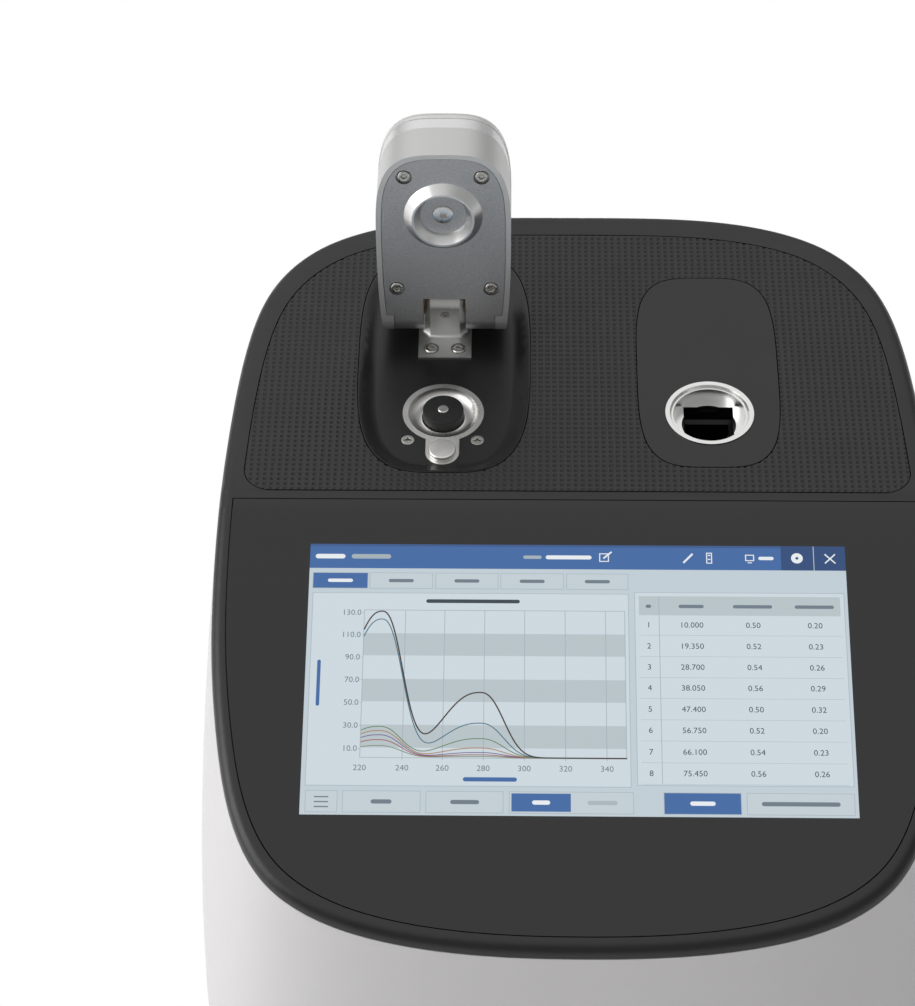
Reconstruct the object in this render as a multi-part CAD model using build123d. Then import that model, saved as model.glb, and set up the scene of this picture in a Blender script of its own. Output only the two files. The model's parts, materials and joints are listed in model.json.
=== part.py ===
from build123d import *
import math
import os

# Bench spectrophotometer with a swing-down measuring arm and a cuvette port.
# Millimetres, X to the user's right, Y to the back, Z up from the bench.
# The arm stands raised; it swings forward and down by arm_travel to measure.

# Body
panel_height = 165.0
foot_height = 4.0
screen_slope = 13.1
half_width = 105.1
front_reach = 110.2
back_reach = 151.8
widest_ahead = 27.6
front_taper = 0.184
back_taper = 0.094
front_power_x = 2.35
front_power_y = 8.98
back_power_x = 3.52
back_power_y = 7.51
side_flare = 13.5
end_flare = 6.5
flare_curve = 1.6
flare_depth = 170.0
wall = 3.0
rim_drop = 3.7
rim_round = 3.3
crease_radius = 30.0
curl_length = 14.0
curl_rise = 2.2
skirt_depth = 5.0
skirt_thick = 2.0
seat_gap = 0.3
glue_film = 0.1

# Display
rim_width = 3.7
glass_thick = 1.9
screen_width = 154.2
screen_height = 85.9
screen_from_seam = 15.8
display_thick = 6.0
display_border = 4.0
bracket_thick = 1.5
bracket_lip = 6.0

# Grip pad and the two stations
pad_half_width = 98.4
pad_back_reach = 142.3
pad_from_seam = 3.0
pad_corner = 8.0
pad_thick = 1.5
tray_half_width = 26.0
tray_half_length = 48.4
tray_x = -39.75
tray_from_seam = 58.6
tray_power = 3.3
tray_depth = 2.0
tray_slope_width = 4.2
tray_floor_round = 5.0
tray_edge_round = 1.5
insert_flange = 3.0
insert_thick = 6.2
cuvette_pad_half_width = 21.2
cuvette_pad_half_length = 41.0
cuvette_x = 40.0
cuvette_pad_from_seam = 54.0
cuvette_pad_power = 3.8

# Sample pedestal
pedestal_from_seam = 37.2
plate_radius = 12.2
plate_thick = 1.6
tab_width = 10.0
button_offset = 16.8
button_radius = 4.05
button_height = 1.7
button_pocket = 0.5
bowl_radius = 10.5
bowl_depth = 2.2
cup_radius = 11.0
cup_floor = 2.0
puck_radius = 6.15
puck_rise = 1.3
puck_height = 7.3
ferrule_radius = 1.675
ferrule_rise = 0.4
ferrule_length = 23.7
tray_screw_x = 10.35
tray_screw_ahead = 11.6
tray_screw_radius = 1.95
screw_shank = 1.1

# Path length actuator
path_travel = 1.0
actuator_width = 30.0
actuator_depth = 26.0
actuator_height = 20.0
actuator_leg = 2.0
actuator_gap = 5.0
coupling_radius = 5.0
coupling_height = 6.0
coupling_socket = 3.0
plunger_radius = 3.0
plunger_length = 14.0
running_gap = 0.04

# Arm hinge
hinge_from_pedestal = 37.6
axis_above_floor = 11.4
arm_lean = 6.0
arm_travel = 96.0
bracket_width = 16.2
bracket_plate = 2.0
bracket_pocket = 1.4
bracket_front = 14.4
bracket_back = 9.0
bracket_screw_x = 4.15
bracket_screw_ahead = 10.4
bracket_screw_radius = 2.05
neck_width = 12.4
neck_thick = 10.0
neck_chamfer = 1.7
neck_foot_radius = 1.6
pin_radius = 2.5
pin_length = 26.0
grub_radius = 1.5
grub_drop = 2.0
bush_wall = 0.9
bush_flange_radius = 4.4

# Arm
arm_half_width = 20.1
arm_tip = 59.4
arm_widest = 28.9
arm_power = 3.4
arm_heel = 7.2
arm_heel_half_width = 18.4
arm_heel_corner = 3.0
arm_under_round = 6.0
arm_back_round = 8.0
arm_frame_height = 14.4
arm_band_height = 5.1
arm_cover_height = 5.4
arm_cover_round = 4.2
arm_wall = 1.7
arm_floor_gap = 2.0
arm_plate_thick = 1.9
arm_plate_sink = 0.1
arm_tab_half_width = 15.2
arm_notch = 13.0
arm_notch_top = 7.2
ear_width = 6.5
ear_depth = 7.0
arm_screw_front_x = 11.4
arm_screw_front = 51.4
arm_screw_back_x = 14.2
arm_screw_back = 10.9
arm_screw_head = 2.05
arm_screw_length = 8.0
boss_radius = 3.0

# Optical head in the arm
head_radius = 11.7
head_rim_radius = 9.3
head_height = 2.6
head_rim_inner = 8.7
head_floor_radius = 6.85
head_depth = 3.4
head_stem = 8.0
disc_thick = 1.5
arm_ferrule_radius = 3.15
arm_ferrule_rise = 0.5
arm_ferrule_hole = 1.15

# Cuvette port
port_from_seam = 35.4
port_radius = 13.25
port_rim = 1.4
port_rise = 0.3
port_floor = 5.2
port_floor_thick = 0.5
port_bevel = 0.45
port_ledge = 1.0
port_mouth = 14.9
port_relief_radius = 8.15
well_width = 12.8
well_depth = 53.0
well_mouth_depth = 5.0
holder_width = 32.0
holder_flange = 42.0
holder_flange_thick = 3.0
beam_height = 15.0
beam_radius = 2.5

# Base, feet and inner frame
base_thick = 1.5
base_recess = 1.0
foot_radius = 9.0
foot_x = 78.0
foot_front = 92.0
foot_back = 96.0
base_screw_radius = 2.6
base_boss_radius = 5.0
base_boss_height = 20.0
vent_count = 9
vent_pitch = 6.0
vent_width = 2.5
vent_length = 44.0
board_width = 150.0
board_depth = 110.0
board_thick = 1.6
board_lift = 6.0
board_y = 20.0
standoff_radius = 3.0
deck_width = 176.0
deck_depth = 130.0
deck_height = 52.0
deck_thick = 2.0
deck_y = 18.0
spectrometer_width = 84.0
spectrometer_depth = 62.0
spectrometer_height = 26.0
lamp_width = 40.0
lamp_depth = 46.0
lamp_height = 24.0

# Rear panel
panel_window_width = 96.0
panel_window_height = 32.0
panel_window_low = 18.0
panel_frame = 3.0
panel_recess = 7.5
panel_thick = 1.5
panel_border = 5.0
switch_x = -36.0
switch_width = 19.0
switch_height = 13.0
switch_depth = 14.0
switch_bezel = 1.5
rocker_tilt = 8.0
rocker_clearance = 0.4
rocker_pin_radius = 1.2
rocker_pin_reach = 0.8
inlet_x = -14.0
inlet_size = 11.0
inlet_radius = 3.1
inlet_pin = 1.0
usb_x = 12.0
usb_width = 14.5
usb_height = 7.2
usb_opening = 5.2
usb_gap = 9.5
usb_tongue = 1.8
network_x = 35.0
network_width = 16.0
network_height = 13.5
network_opening = 11.8
network_opening_height = 8.6
socket_depth = 15.0
socket_proud = 0.8
connector_z = 34.0



def flare_share(depth):
    """How much of its flare the wall has gained at this depth below the top."""
    return 1 - (1 - depth / flare_depth) ** flare_curve


bottom_depth = panel_height - foot_height
front_rim_depth = rim_drop + (widest_ahead + front_reach) * math.tan(math.radians(screen_slope))
front_gain = end_flare * (flare_share(bottom_depth) - flare_share(front_rim_depth)) / back_reach
back_gain = end_flare * (flare_share(bottom_depth) - flare_share(rim_drop)) / back_reach
seam_y = widest_ahead - (back_reach * (1 + back_gain) - front_reach * (1 + front_gain)) / 2
widest_y = seam_y - widest_ahead
curl_radius = (curl_length**2 + curl_rise**2) / (2 * curl_rise)
curl_start = widest_y + back_reach - curl_length
shell_underside = panel_height - rim_drop
floor_z = panel_height - tray_depth
insert_bottom = panel_height - insert_thick
pedestal_y = seam_y + pedestal_from_seam
hinge_y = pedestal_y + hinge_from_pedestal
hinge_z = floor_z + axis_above_floor
underside = axis_above_floor - arm_floor_gap
frame_end = underside - arm_frame_height
band_end = frame_end - arm_band_height
cover_end = band_end - arm_cover_height
port_y = seam_y + port_from_seam
base_z = foot_height + base_recess
deck_z = base_z + base_thick + deck_height
panel_face = widest_y + back_reach * (1 + back_gain) - panel_recess
coupling_z = floor_z + puck_rise + ferrule_rise - ferrule_length - coupling_socket
arm_plane = Plane(
    origin=(tray_x, hinge_y, hinge_z),
    x_dir=(1, 0, 0),
    z_dir=(0, -math.cos(math.radians(arm_lean)), math.sin(math.radians(arm_lean))),
)


def curve_radius(angle, across, along, power_x, power_y):
    """Distance from the centre to a superellipse, found by halving."""
    near, far = 0.0, across + along
    for step in range(60):
        middle = (near + far) / 2
        x = abs(middle * math.cos(angle)) / across
        y = abs(middle * math.sin(angle)) / along
        if x**power_x + y**power_y < 1:
            near = middle
        else:
            far = middle
    return near


def plan_point(turn, across, front, back):
    """Point of the egg-shaped plan: blunt ends, sides that draw in to both."""
    behind = math.sin(turn) >= 0
    along = back if behind else front
    powers = (back_power_x, back_power_y) if behind else (front_power_x, front_power_y)
    taper = back_taper if behind else front_taper
    angle = math.atan2(along * math.sin(turn), across * math.cos(turn))
    reach = curve_radius(angle, across, along, *powers)
    ahead = reach * math.sin(angle)
    return reach * math.cos(angle) * (1 - taper * (ahead / along) ** 2), widest_y + ahead


def flared_point(turn, depth, inset):
    """Point of the wall at a depth: it passes the rim's plan where the rim is."""
    x, y = plan_point(turn, half_width - inset, front_reach - inset, back_reach - inset)
    rim_depth = rim_drop + max(0, seam_y - y) * math.tan(math.radians(screen_slope))
    gain = flare_share(depth) - flare_share(rim_depth)
    return x * (1 + side_flare * gain / half_width), widest_y + (y - widest_y) * (1 + end_flare * gain / back_reach)


def turns(count):
    return [2 * math.pi * index / count for index in range(count)]


def rounded_plan(x, y, across, along, power, count=32):
    """Flat face bounded by a superellipse with equal halves."""
    points = []
    for index in range(count):
        turn = 2 * math.pi * index / count
        angle = math.atan2(along * math.sin(turn), across * math.cos(turn))
        reach = curve_radius(angle, across, along, power, power)
        points.append((x + reach * math.cos(angle), y + reach * math.sin(angle)))
    return make_face(Spline(*points, periodic=True))


def body_section(z, inset):
    points = [flared_point(turn, panel_height - z, inset) for turn in turns(44)]
    return Pos(0, 0, z) * make_face(Spline(*points, periodic=True))


def body_block(inset, low=foot_height):
    """The flared body as a solid, taller than its top surface."""
    high = panel_height + 2 * curl_rise + 4
    levels = [low, low + 0.3 * (high - low), low + 0.65 * (high - low), high]
    return loft([body_section(z, inset) for z in levels])


def below_top(depth):
    """All space under the top surface lowered by depth: slope, flat and curl."""
    reach = 2 * back_reach
    drop = reach * math.tan(math.radians(screen_slope))
    level = panel_height - depth
    run = crease_radius * math.tan(math.radians(screen_slope / 2))
    slope = math.radians(screen_slope)
    slope_end = (seam_y - run * math.cos(slope), level - run * math.sin(slope))
    flat_start = (seam_y + run, level)
    corner = (curl_start, level)
    curl_turn = math.degrees(math.asin(min(0.9, 3 * curl_length / curl_radius)))
    centre = (curl_start, level + curl_radius)
    front = Line((seam_y - reach, level - drop), slope_end)
    crease = RadiusArc(slope_end, flat_start, -crease_radius)
    if abs(crease.center().Y - level) > crease_radius:
        crease = RadiusArc(slope_end, flat_start, crease_radius)
    flat = Line(flat_start, corner)
    curl = CenterArc(centre, curl_radius, 270, curl_turn)
    far = curl @ 1
    outline = Polyline(far, (far.X, -panel_height), (seam_y - reach, -panel_height), (seam_y - reach, level - drop))
    profile = make_face([front, crease, flat, curl, outline])
    return extrude(Plane.YZ * profile, amount=1.5 * half_width, both=True)


def layer(top, bottom):
    return below_top(top) - below_top(bottom)


def box_between(x0, x1, y0, y1, z0, z1):
    middle = ((x0 + x1) / 2, (y0 + y1) / 2, (z0 + z1) / 2)
    return Pos(*middle) * Box(x1 - x0, y1 - y0, z1 - z0)


def rod(x, y, z0, z1, radius):
    return Pos(x, y, (z0 + z1) / 2) * Cylinder(radius, z1 - z0)


def prism(face, z0, z1):
    return extrude(Pos(0, 0, z0) * face, amount=z1 - z0)


def tray_plan(grow):
    centre_y = seam_y + tray_from_seam
    return rounded_plan(tray_x, centre_y, tray_half_width + grow, tray_half_length + grow, tray_power)


def cuvette_pad_plan(grow):
    centre_y = seam_y + cuvette_pad_from_seam
    across = cuvette_pad_half_width + grow
    return rounded_plan(cuvette_x, centre_y, across, cuvette_pad_half_length + grow, cuvette_pad_power)


def pad_plan(grow):
    """Grip pad plan: the back of the body plan, cut off behind the seam."""
    points = [plan_point(turn, pad_half_width + grow, front_reach, pad_back_reach + grow) for turn in turns(44)]
    whole = make_face(Spline(*points, periodic=True))
    front = seam_y + pad_from_seam - grow
    kept = whole & Pos(0, front + back_reach) * Rectangle(3 * half_width, 2 * back_reach)
    corners = kept.vertices().sort_by(Axis.Y)[:2]
    return fillet(corners, pad_corner + grow)


def on_slope(x, y_down, depth):
    """Plane on the screen slope, y_down below the seam and depth inside."""
    slope = math.radians(screen_slope)
    y = seam_y - y_down * math.cos(slope) + depth * math.sin(slope)
    z = panel_height - y_down * math.sin(slope) - depth * math.cos(slope)
    return Plane(origin=(x, y, z), x_dir=(1, 0, 0), z_dir=(0, -math.sin(slope), math.cos(slope)))


def slope_box(width, length, thick, y_down, depth):
    """Box lying on the slope with its top face at depth below the surface."""
    return on_slope(0, y_down, depth + thick / 2) * Box(width, length, thick)


def lower_housing():
    outer = body_block(0) & below_top(rim_drop + seat_gap)
    shell = outer - body_block(wall, foot_height - 1)
    inside = body_block(wall - 1)
    bosses = [rod(x, y, base_z + base_thick, base_z + base_thick + base_boss_height, base_boss_radius)
              for x, y in base_screw_places()]
    for boss in bosses:
        shell += boss & inside
    half = panel_window_width / 2
    low = panel_window_low
    high = low + panel_window_height
    frame = box_between(-half - panel_frame, half + panel_frame, panel_face, 2 * panel_face,
                        low - panel_frame, high + panel_frame)
    shell += frame & inside
    shell -= box_between(-half, half, panel_face - 10, 2 * panel_face, low, high)
    for x, y in base_screw_places():
        shell -= rod(x, y, 0, base_z + base_thick + base_boss_height - 4, screw_shank + 0.5)
    return shell


def base_screw_places():
    """Six bosses standing against the inside of the wall."""
    inset = wall + base_boss_radius - 2
    return [flared_point(math.radians(angle), panel_height - base_z, inset) for angle in (0, 40, 140, 180, 220, 320)]


def base_plate():
    outline = body_section(base_z, wall + seat_gap)
    plate = extrude(outline, amount=base_thick)
    for x, y in base_screw_places():
        plate -= rod(x, y, 0, 2 * base_z, screw_shank + 0.7)
    for side in (-1, 1):
        for index in range(vent_count):
            y = (index - (vent_count - 1) / 2) * vent_pitch
            slot = SlotOverall(vent_length, vent_width)
            plate -= Pos(side * board_width / 4, y, base_z) * extrude(slot, amount=2 * base_thick, both=True)
    return plate


def foot_places():
    return [(x, y) for x in (-foot_x, foot_x) for y in (-foot_front, foot_back)]


def rubber_feet():
    feet = []
    for x, y in foot_places():
        foot = rod(x, y, 0, base_z, foot_radius)
        feet.append(chamfer(foot.edges().sort_by(Axis.Z)[0], 1.0))
    return Compound(children=feet)


def base_screws():
    screws = []
    for x, y in base_screw_places():
        head = rod(x, y, base_z - 2, base_z, base_screw_radius)
        head = fillet(head.edges().sort_by(Axis.Z)[0], 1.2)
        screws.append(head + rod(x, y, base_z, base_z + 12, screw_shank + 0.4))
    return Compound(children=screws)


def upper_shell():
    """Dark top: screen pocket first, then the bullnose, then the openings."""
    block = body_block(0) & below_top(0)
    front_half = box_between(-half_width, half_width, -2 * back_reach, seam_y, 0, 2 * panel_height)
    block -= (body_block(rim_width) - below_top(glass_thick + glue_film)) & front_half
    rim = [edge for edge in block.edges() if is_outer_rim(edge)]
    block = fillet(rim, rim_round)
    skirt = body_block(wall + seat_gap) - body_block(wall + seat_gap + skirt_thick)
    skirt -= below_top(rim_drop + skirt_depth)
    shell = block - (below_top(rim_drop) - (skirt & below_top(-1)))
    shell -= slope_box(screen_width + 2 * display_border + 2 * seat_gap, screen_height + 2 * display_border
                       + 2 * seat_gap, 4 * rim_drop, screen_from_seam + screen_height / 2, -rim_drop)
    shell -= prism(pad_plan(seat_gap), 0, 2 * panel_height) - below_top(pad_thick + glue_film)
    shell -= prism(tray_plan(seat_gap), 0, 2 * panel_height)
    shell -= prism(cuvette_pad_plan(seat_gap), 0, 2 * panel_height)
    return shell


def is_outer_rim(edge):
    """True for the edges of the top that lie on the outside of the body."""
    middle = edge.position_at(0.5)
    if middle.Z < panel_height - front_rim_depth - rim_drop or edge.geom_type == GeomType.LINE:
        return False
    angle = math.atan2(middle.Y - widest_y, middle.X)
    near = min(turns(360), key=lambda turn: spread(turn, panel_height - middle.Z, angle))
    x, y = flared_point(near, panel_height - middle.Z, 1)
    return math.hypot(middle.X, middle.Y - widest_y) > math.hypot(x, y - widest_y)


def spread(turn, depth, angle):
    """Angle between a point of the wall and a direction from the plan's centre."""
    x, y = flared_point(turn, depth, 1)
    difference = math.atan2(y - widest_y, x) - angle
    return abs(math.remainder(difference, 2 * math.pi))


def grip_pad():
    pad = prism(pad_plan(0), 0, 2 * panel_height) & layer(0, pad_thick)
    pad -= prism(tray_plan(seat_gap), 0, 2 * panel_height)
    pad -= prism(cuvette_pad_plan(seat_gap), 0, 2 * panel_height)
    return pad


def display_glass():
    glass = body_block(rim_width + seat_gap) & layer(0, glass_thick)
    return glass & box_between(-half_width, half_width, -2 * back_reach, seam_y - seat_gap, 0, 2 * panel_height)


def display_module():
    middle = screen_from_seam + screen_height / 2
    return slope_box(screen_width + 2 * display_border, screen_height + 2 * display_border, display_thick, middle,
                     glass_thick)


def display_bracket():
    """Sheet frame that clamps the display to the underside of the shell."""
    middle = screen_from_seam + screen_height / 2
    width = screen_width + 2 * display_border
    length = screen_height + 2 * display_border
    depth = rim_drop * math.cos(math.radians(screen_slope))
    cup = slope_box(width + 2 * bracket_thick + 2 * seat_gap, length + 2 * bracket_thick + 2 * seat_gap,
                    display_thick + glass_thick + bracket_thick - depth, middle, depth)
    flange = slope_box(width + 2 * bracket_lip, length + 2 * bracket_lip, bracket_thick, middle, depth)
    hollow = slope_box(width + 2 * seat_gap, length + 2 * seat_gap, display_thick + glass_thick, middle, 0)
    window = slope_box(width - 30, length - 30, 40, middle, 0)
    return cup + flange - hollow - window


def insert(plan, flange_plan):
    return prism(plan, insert_bottom, panel_height) + prism(flange_plan, insert_bottom, shell_underside)


def sample_tray():
    tray = insert(tray_plan(0), tray_plan(insert_flange))
    mouth = Pos(0, 0, panel_height) * tray_plan(-0.4)
    floor = Pos(0, 0, floor_z) * tray_plan(-tray_slope_width)
    dish = loft([floor, mouth])
    dish = fillet(dish.faces().sort_by(Axis.Z)[0].edges(), tray_floor_round)
    tray -= dish
    tray -= prism(keyhole(running_gap), floor_z - plate_thick, panel_height)
    tray -= rod(tray_x, pedestal_y, 0, panel_height, cup_radius + 0.1)
    low = floor_z - bracket_pocket
    tray -= box_between(tray_x - bracket_width / 2 - 0.1, tray_x + bracket_width / 2 + 0.1,
                        hinge_y - bracket_front - 0.1, hinge_y + bracket_back + 0.1, low, panel_height)
    for side in (-1, 1):
        x = tray_x + side * tray_screw_x
        y = pedestal_y - tray_screw_ahead
        tray -= rod(x, y, 0, panel_height, screw_shank + running_gap)
        tray -= Pos(x, y, floor_z) * countersink(tray_screw_radius + running_gap)
        x = tray_x + side * bracket_screw_x
        tray -= rod(x, hinge_y - bracket_screw_ahead, 0, panel_height, screw_shank + running_gap)
    return tray


def countersink(radius):
    """Cone with its wide face up at the origin's height."""
    height = radius - screw_shank
    return Pos(0, 0, -height / 2) * Cone(screw_shank, radius, height)


def keyhole(grow):
    """Plan of the polished sample plate: a disc with a rounded tab in front."""
    disc = Pos(tray_x, pedestal_y) * Circle(plate_radius + grow)
    tab = Pos(tray_x, pedestal_y - button_offset / 2) * Rectangle(tab_width + 2 * grow, button_offset)
    end = Pos(tray_x, pedestal_y - button_offset) * Circle(tab_width / 2 + grow)
    return disc + tab + end


def pedestal_plate():
    plate = prism(keyhole(0), floor_z - plate_thick, floor_z)
    seat = floor_z + puck_rise - puck_height
    plate += rod(tray_x, pedestal_y, seat - cup_floor, floor_z, cup_radius)
    bore = puck_radius + seat_gap
    mouth = (bowl_radius, 0)
    lip = (bore, -bowl_depth)
    bulge = (bore + 0.62 * (bowl_radius - bore), -0.92 * bowl_depth)
    bowl = make_face([
        ThreePointArc(mouth, (bore + 0.78 * (bowl_radius - bore), -0.66 * bowl_depth), lip),
        Polyline(lip, (0, -bowl_depth), (0, 0), mouth),
    ])
    plate -= Pos(tray_x, pedestal_y, floor_z) * revolve(Plane.XZ * bowl, Axis.Z)
    plate -= rod(tray_x, pedestal_y, seat, floor_z, bore)
    plate -= rod(tray_x, pedestal_y, 0, floor_z, ferrule_radius + 0.8)
    plate -= rod(tray_x, pedestal_y - button_offset, floor_z - button_pocket, floor_z + 1,
                 button_radius + running_gap)
    return plate


def pedestal_puck():
    puck = rod(tray_x, pedestal_y, floor_z + puck_rise - puck_height, floor_z + puck_rise, puck_radius)
    puck = fillet(puck.edges().sort_by(Axis.Z)[-1], 0.3)
    return puck - rod(tray_x, pedestal_y, 0, panel_height, ferrule_radius + running_gap)


def sample_ferrule():
    top = floor_z + puck_rise + ferrule_rise
    ferrule = rod(tray_x, pedestal_y, top - ferrule_length, top, ferrule_radius)
    return fillet(ferrule.edges().sort_by(Axis.Z)[-1], ferrule_rise)


def rest_button():
    button = rod(tray_x, pedestal_y - button_offset, floor_z - button_pocket, floor_z + button_height, button_radius)
    return fillet(button.edges().sort_by(Axis.Z)[-1], 0.5)


def tray_screws():
    screws = []
    for side in (-1, 1):
        place = Pos(tray_x + side * tray_screw_x, pedestal_y - tray_screw_ahead, 0)
        screw = Pos(0, 0, floor_z) * countersink(tray_screw_radius)
        screw += rod(0, 0, insert_bottom - 1.8, floor_z - 0.2, screw_shank)
        screws.append(place * screw)
    return Compound(children=screws)


def path_actuator():
    """Flange under the tray, two legs and the actuator body they carry."""
    top = insert_bottom
    body_top = coupling_z - path_travel - 0.5
    half = actuator_width / 2
    flange = box_between(-half, half, -actuator_depth / 2 - 4, actuator_depth / 2 + 4, top - 2, top)
    body = box_between(-half, half, -actuator_depth / 2, actuator_depth / 2, body_top - actuator_height, body_top)
    legs = box_between(-half, half, -actuator_depth / 2, actuator_depth / 2, body_top, top - 2)
    legs -= box_between(-half + actuator_leg, half - actuator_leg, -actuator_depth, actuator_depth, body_top, top - 2)
    whole = flange + body + legs
    whole -= rod(0, 0, top - 3, top + 1, cup_radius + 0.3)
    whole -= rod(0, 0, coupling_z - plunger_length - path_travel, body_top + 1, plunger_radius + running_gap)
    for side in (-1, 1):
        whole -= rod(side * tray_screw_x, -tray_screw_ahead, top - 3, top + 1, screw_shank + running_gap)
    return Pos(tray_x, pedestal_y, 0) * whole


def lift_carriage():
    """Plunger and coupling that carry the moving ferrule."""
    coupling = rod(0, 0, coupling_z, coupling_z + coupling_height, coupling_radius)
    coupling += rod(0, 0, coupling_z - plunger_length + 0.5, coupling_z, plunger_radius)
    coupling -= rod(0, 0, coupling_z + coupling_height - coupling_socket, coupling_z + 2 * coupling_height,
                    ferrule_radius + 0.02)
    return Pos(tray_x, pedestal_y, 0) * coupling


def hinge_bracket():
    """Screwed foot with a chamfered neck that ends in the rounded knuckle."""
    low = floor_z - bracket_pocket
    foot_top = low + bracket_plate
    foot = box_between(-bracket_width / 2, bracket_width / 2, -bracket_front, bracket_back, low, foot_top)
    half = neck_thick / 2
    side = make_face([
        Line((-half, low), (half, low)),
        Line((half, low), (half, hinge_z)),
        ThreePointArc((half, hinge_z), (0, hinge_z + half), (-half, hinge_z)),
        Line((-half, hinge_z), (-half, low)),
    ])
    neck = extrude(Plane.YZ * side, amount=neck_width / 2, both=True)
    ends = neck.faces().sort_by(Axis.X)
    outline = [edge for face in (ends[0], ends[-1]) for edge in face.edges() if edge.center().Z > foot_top]
    neck = chamfer(outline, neck_chamfer)
    bracket = foot + neck
    corner = [edge for edge in bracket.edges() if abs(edge.bounding_box().max.Z - foot_top) < 0.001
              and abs(edge.bounding_box().min.Z - foot_top) < 0.001
              and abs(edge.center().X) < neck_width / 2 + 0.1 and abs(edge.center().Y) < half + 0.1]
    bracket = fillet(corner, neck_foot_radius)
    bracket -= Pos(0, 0, hinge_z) * Rot(0, 90, 0) * Cylinder(pin_radius + 0.02, 2 * pin_length)
    bracket -= Pos(0, -half, hinge_z - grub_drop) * Rot(90, 0, 0) * Cylinder(grub_radius + 0.02, neck_thick - 0.01)
    for x in (-bracket_screw_x, bracket_screw_x):
        y = -bracket_screw_ahead
        bracket -= rod(x, y, low - 1, foot_top, screw_shank + running_gap)
        bracket -= rod(x, y, low + 0.8, hinge_z - 6, bracket_screw_radius + 0.25)
    return Pos(tray_x, hinge_y, 0) * bracket


def bracket_screws():
    low = floor_z - bracket_pocket
    screws = []
    for x in (-bracket_screw_x, bracket_screw_x):
        head = rod(0, 0, low + 0.8, low + 0.8 + 1.5, bracket_screw_radius)
        head = fillet(head.edges().sort_by(Axis.Z)[-1], 0.6)
        head += rod(0, 0, insert_bottom + 0.5, low + 0.8, screw_shank)
        screws.append(Pos(tray_x + x, hinge_y - bracket_screw_ahead, 0) * head)
    return Compound(children=screws)


def hinge_pin():
    return Pos(tray_x, hinge_y, hinge_z) * Rot(0, 90, 0) * Cylinder(pin_radius, pin_length)


def hinge_grub_screw():
    start = -neck_thick / 2
    length = neck_thick / 2 - pin_radius - 0.1
    screw = Rot(90, 0, 0) * Cylinder(grub_radius, length)
    socket = Rot(90, 0, 0) * extrude(RegularPolygon(0.75, 6), amount=0.9, both=True)
    screw -= Pos(0, -length / 2, 0) * socket
    return Pos(tray_x, hinge_y + start + length / 2, hinge_z - grub_drop) * screw


def arm_outline(inset):
    """Plan of the arm: a full rounded tip and sides that draw in to the heel."""
    across = arm_half_width - inset
    along = arm_tip - arm_widest - inset
    tip = []
    count = 18
    for index in range(count + 1):
        turn = math.pi * index / count
        angle = math.atan2(along * math.sin(turn), across * math.cos(turn))
        reach = curve_radius(angle, across, along, arm_power, arm_power)
        tip.append((reach * math.cos(angle), arm_widest + reach * math.sin(angle)))
    heel_x = arm_heel_half_width - inset
    heel_s = -arm_heel + inset
    front = Spline(*tip, tangents=[(0, 1), (0, -1)])
    left = Spline((-across, arm_widest), (-heel_x, heel_s), tangents=[(0, -1), (0.13, -1)])
    right = Spline((heel_x, heel_s), (across, arm_widest), tangents=[(0.13, 1), (0, 1)])
    heel = Line((-heel_x, heel_s), (heel_x, heel_s))
    face = make_face([front, left, heel, right])
    corners = face.vertices().sort_by(Axis.Y)[:2]
    return fillet(corners, max(0.5, arm_heel_corner - inset))


def arm_side(inset):
    """Space seen from the side: both heel edges are rounded about the hinge."""
    low = cover_end + inset
    high = underside - inset
    back = -arm_heel + inset
    block = Pos(back + arm_tip, (low + high) / 2) * Rectangle(2 * arm_tip, high - low)
    under = block.vertices().sort_by(Axis.X)[:2].sort_by(Axis.Y)
    block = fillet(under[1], arm_under_round - inset)
    lower = block.vertices().sort_by(Axis.Y)[:2].sort_by(Axis.X)
    block = fillet(lower[0], arm_back_round - inset)
    return extrude(Plane.YZ * block, amount=2 * arm_half_width, both=True)


def arm_block(inset, low, high):
    """Part of the arm's body between two heights, drawn in by inset."""
    return prism(arm_outline(inset), low, high) & arm_side(inset)


def arm_notch_space(grow):
    half = arm_notch / 2 + grow
    return box_between(-half, half, -2 * arm_heel, arm_notch_top + grow, -ear_depth, 2 * underside)


def plate_space(grow):
    """Where the inset plate lies: the flat underside and round the heel."""
    skin = prism(arm_outline(arm_wall - grow), 3.0 - grow, underside)
    skin = skin & (arm_side(arm_plate_sink if grow == 0 else 0) - arm_side(arm_plate_thick + arm_plate_sink))
    half = arm_tab_half_width + grow
    heel = prism(arm_outline(0), 3.0 - grow, underside)
    heel = heel & (arm_side(arm_plate_sink if grow == 0 else 0) - arm_side(arm_plate_thick + arm_plate_sink))
    heel = heel & box_between(-half, half, -2 * arm_heel, 1.0, -underside, 2 * underside)
    flat = skin & box_between(-arm_half_width, arm_half_width, 1.0 - grow, 2 * arm_tip, -underside, 2 * underside)
    return flat + heel


def arm_screw_places():
    front = [(x, arm_screw_front) for x in (-arm_screw_front_x, arm_screw_front_x)]
    back = [(x, arm_screw_back) for x in (-arm_screw_back_x, arm_screw_back_x)]
    return front + back


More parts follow.
